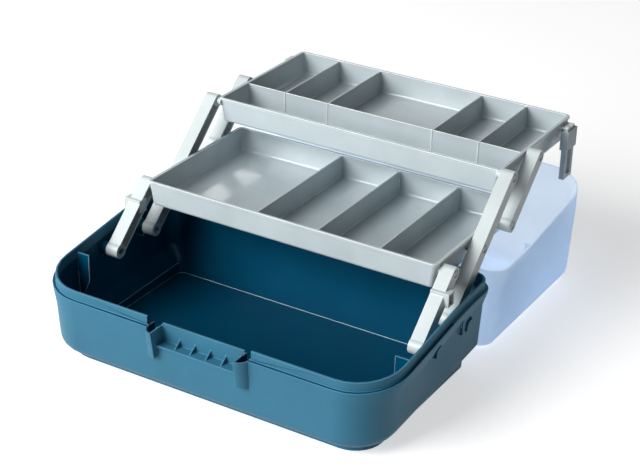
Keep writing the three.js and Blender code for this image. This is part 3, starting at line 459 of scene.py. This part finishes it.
def painted_shade_opening_backs():
    """Thin skins in the side walls behind the stud openings, in the dark inside teal, so that each reads as a
    dark pocket: painted shade.
    """
    tub = bmesh.new()
    tub.from_mesh(frame["nodes"]["base_tub"].data)
    walls = BVHTree.FromBMesh(tub)
    inner_faces = [walls.ray_cast(Vector((WITHIN_TUB, SOLID_WALL_PLACE, z)) * MM, Vector((1, 0, 0)))[0].x / MM
                   for z in SKIN_HEIGHTS]
    tub.free()
    for side, sign in (("right", 1), ("left", -1)):
        shape = bmesh.new()
        for front, rear in OPENING_SPANS:
            corners = ((SKIN_INNER, front), (SKIN_OUTER, front), (SKIN_OUTER, rear), (SKIN_INNER, rear))
            rings = [[shape.verts.new(Vector((sign * (x + depth), y, z)) * MM) for depth, y in corners]
                     for x, z in zip(inner_faces, SKIN_HEIGHTS)]
            for below, above in zip(rings, rings[1:]):
                for i in range(4):
                    shape.faces.new((below[i], below[(i + 1) % 4], above[(i + 1) % 4], above[i]))
            shape.faces.new(rings[0][::-1])
            shape.faces.new(rings[-1])
        bmesh.ops.recalc_face_normals(shape, faces=shape.faces)
        name = "painted_shade_opening_backs_" + side
        attach(linked(name, mesh_of(shape, name, [teal_shade_painted_inside])), "base_tub")


painted_shade_opening_backs()


# Small repeated shapes: grown with Geometry Nodes, then kept as plain meshes

def node_group(name, **inputs):
    """A geometry group with one geometry out and inputs of the given kinds."""
    tree = bpy.data.node_groups.new(name, "GeometryNodeTree")
    tree.interface.new_socket("Geometry", in_out="OUTPUT", socket_type="NodeSocketGeometry")
    for title, kind in inputs.items():
        tree.interface.new_socket(title, in_out="INPUT", socket_type="NodeSocket" + kind)
    return tree, add(tree, "NodeGroupInput").outputs


def repeated_on_points(tree, points, shape, material, **placing):
    """Puts the shape on every point, makes it real and gives it the material."""
    placed = add(tree, "GeometryNodeInstanceOnPoints", links={"Points": points, "Instance": shape, **placing})
    real = add(tree, "GeometryNodeRealizeInstances", links={"Geometry": placed.outputs["Instances"]})
    coated = add(tree, "GeometryNodeSetMaterial",
                 links={"Geometry": real.outputs["Geometry"], "Material": material})
    add(tree, "NodeGroupOutput", links={"Geometry": coated.outputs["Geometry"]})


def ejector_marks_group():
    """Low round discs on the points of the mesh it is given, each a little different in size.
    Spread is how much smaller than the radius a disc may be, as a share."""
    tree, given = node_group("ejector_marks", Points="Geometry", Radius="Float", Depth="Float", Spread="Float",
                             Seed="Int", Material="Material")
    disc = add(tree, "GeometryNodeMeshCylinder", {"Vertices": 20},
               {"Radius": given["Radius"], "Depth": given["Depth"]})
    smallest = add(tree, "ShaderNodeMath", {0: 1.0}, {1: given["Spread"]}, operation="SUBTRACT")
    size = add(tree, "FunctionNodeRandomValue", {RANDOM_MAX: 1.0},
               {RANDOM_MIN: smallest.outputs["Value"], "Seed": given["Seed"]}, data_type="FLOAT")
    points = add(tree, "GeometryNodeMeshToPoints", links={"Mesh": given["Points"]})
    repeated_on_points(tree, points.outputs["Points"], disc.outputs["Mesh"], given["Material"],
                       Scale=size.outputs[RANDOM_VALUE])
    return tree


def rib_row_group():
    """A row of equal blocks with the given step from one to the next."""
    tree, given = node_group("rib_row", Count="Int", Step="Vector", Size="Vector", Material="Material")
    line = add(tree, "GeometryNodeMeshLine", links={"Count": given["Count"], "Offset": given["Step"]},
               mode="OFFSET")
    rib = add(tree, "GeometryNodeMeshCube", links={"Size": given["Size"]})
    repeated_on_points(tree, line.outputs["Mesh"], rib.outputs["Mesh"], given["Material"])
    return tree


EJECTOR_MARKS = ejector_marks_group()
RIB_ROW = rib_row_group()


def grown(name, tree, values, points=((0.0, 0.0, 0.0),), shift=(0.0, 0.0, 0.0)):
    """A plain mesh object of what the group makes on the points, moved by the shift."""
    start = bpy.data.meshes.new(name + "_points")
    start.from_pydata([Vector(point) * MM for point in points], [], [])
    holder = linked(name + "_points", start)
    modifier = holder.modifiers.new("grow", "NODES")
    modifier.node_group = tree
    for socket in tree.interface.items_tree:
        if socket.in_out == "INPUT" and socket.name in values:
            modifier[socket.identifier] = values[socket.name]
    mesh = bpy.data.meshes.new_from_object(holder.evaluated_get(bpy.context.evaluated_depsgraph_get()))
    bpy.data.objects.remove(holder)
    mesh.name = name
    mesh.transform(Matrix.Translation(Vector(shift) * MM))
    return linked(name, mesh)


def floor_marks(node, level, columns, rows, radius, seed):
    """Ejector-pin marks on a moulding's floor."""
    material = SHADE_PAINTED_INSIDES.get(node) or MATERIALS[slot_of(node)]
    values = {"Radius": radius * MM, "Depth": MARK_HEIGHT * MM, "Spread": MARK_SPREAD, "Seed": seed,
              "Material": material}
    points = [(x, y, level - MARK_DEPTH) for x in columns for y in rows]
    attach(grown(node + "_ejector_marks", EJECTOR_MARKS, values, points), node)


def rib_row(node, name, count, step, size, start):
    """A row of ribs on a moulding, the first of them centred at the start."""
    values = {"Count": count, "Step": [v * MM for v in step], "Size": [v * MM for v in size],
              "Material": MATERIALS[slot_of(node)]}
    attach(grown(name, RIB_ROW, values, shift=start), node)


floor_marks("base_tub", TUB_FLOOR_TOP,
            columns=(-118, -40, 40, 118), rows=(-52, 62), radius=5.0, seed=3)
floor_marks("lid_shell", LID_ROOF_INSIDE,
            columns=(-112, 112), rows=(150, 276), radius=5.0, seed=5)
floor_marks("lower_tray", LOWER_TRAY_FLOOR,
            columns=(-132, -62, 12, 62, 112, 136), rows=(54, 168), radius=3.0, seed=7)
floor_marks("upper_tray", UPPER_TRAY_FLOOR,
            columns=(-130, -96, -40, 24, 96, 134), rows=(166, 286), radius=3.0, seed=9)
rib_row("latch", "latch_grip_ribs",
        count=7, step=(0, 0, 2.4), size=(56, 1.0, 0.9), start=(0, LATCH_FRONT, 77.5))
rib_row("latch", "latch_stiffeners",
        count=9, step=(7.5, 0, 0), size=(1.0, 1.0, 18), start=(-30, LATCH_BACK, 86.5))
rib_row("carry_handle", "handle_grip_ribs",
        count=13, step=(5, 0, 0), size=(1.6, 7.5, 0.6), start=(-30, HANDLE_GRIP, HANDLE_UNDERSIDE))


# Stage: pale floor, soft light and the photograph's camera

def seen_white(tree):
    """1 for rays that show the room as it is: to the camera, in gloss and through clear pieces."""
    rays = add(tree, "ShaderNodeLightPath").outputs
    clear = add(tree, "ShaderNodeMath", links={0: rays["Is Glossy Ray"], 1: rays["Is Transmission Ray"]},
                operation="MAXIMUM")
    return add(tree, "ShaderNodeMath", links={0: rays["Is Camera Ray"], 1: clear.outputs["Value"]},
               operation="MAXIMUM").outputs["Value"]


def floor_material():
    """A matt white sweep: bright to the camera, its shadows kept."""
    material, tree = bare_material("studio_floor")
    paper = add(tree, "ShaderNodeBsdfDiffuse", {"Color": PAPER})
    lift = add(tree, "ShaderNodeMath", {1: PAPER_GLOW}, {0: seen_white(tree)}, operation="MULTIPLY")
    glow = add(tree, "ShaderNodeEmission", {"Color": WHITE}, {"Strength": lift.outputs["Value"]})
    both = add(tree, "ShaderNodeAddShader", links={0: paper.outputs["BSDF"], 1: glow.outputs["Emission"]})
    add(tree, "ShaderNodeOutputMaterial", links={"Surface": both.outputs["Shader"]})
    return material


def make_floor():
    mesh = bpy.data.meshes.new("studio_floor")
    corners = [(-FLOOR_HALF, -FLOOR_HALF, 0), (FLOOR_HALF, -FLOOR_HALF, 0),
               (FLOOR_HALF, FLOOR_HALF, 0), (-FLOOR_HALF, FLOOR_HALF, 0)]
    mesh.from_pydata(corners, [], [(0, 1, 2, 3)])
    mesh.materials.append(floor_material())
    floor = linked("studio_floor", mesh)
    floor.location.z = -FLOOR_DROP


def make_world():
    """A room that is white where it is seen, and only faintly lights the box."""
    world = bpy.data.worlds.new("studio_room")
    world.use_nodes = True
    tree = world.node_tree
    tree.nodes.clear()
    room = add(tree, "ShaderNodeBackground", {"Color": ROOM_TINT, "Strength": ROOM_STRENGTH})
    white = add(tree, "ShaderNodeBackground", {"Color": WHITE, "Strength": 1.0})
    both = add(tree, "ShaderNodeMixShader",
               links={0: seen_white(tree), 1: room.outputs["Background"], 2: white.outputs["Background"]})
    add(tree, "ShaderNodeOutputWorld", links={"Surface": both.outputs["Shader"]})
    scene.world = world


def soft_light(name, place, aim, side, power):
    """A square soft box pointed at a place."""
    data = bpy.data.lights.new(name, "AREA")
    data.shape = "SQUARE"
    data.size = side
    data.energy = power
    turn = (Vector(aim) - Vector(place)).to_track_quat("-Z", "Y").to_matrix().to_4x4()
    linked(name, data).matrix_world = Matrix.Translation(Vector(place)) @ turn


def make_camera():
    azimuth, elevation = math.radians(CAMERA_AZIMUTH), math.radians(CAMERA_ELEVATION)
    away = Vector((math.sin(azimuth) * math.cos(elevation), -math.cos(azimuth) * math.cos(elevation),
                   math.sin(elevation)))
    right = Vector((0, 0, 1)).cross(away).normalized()
    up = away.cross(right)
    roll = math.radians(CAMERA_ROLL)
    side = right * math.cos(roll) + up * math.sin(roll)
    top = up * math.cos(roll) - right * math.sin(roll)
    place = (Vector(CAMERA_TARGET) + away * CAMERA_DISTANCE) * MM
    data = bpy.data.cameras.new("photo_camera")
    data.sensor_fit = "HORIZONTAL"
    data.sensor_width = CAMERA_SENSOR
    data.lens = CAMERA_LENS
    camera = linked("photo_camera", data)
    camera.matrix_world = Matrix.Translation(place) @ Matrix((side, top, away)).transposed().to_4x4()
    scene.camera = camera


make_floor()
make_world()
for name, (place, aim, side, power) in SOFT_LIGHTS.items():
    soft_light(name, place, aim, side, power)
make_camera()
scene.view_settings.view_transform = "Standard"
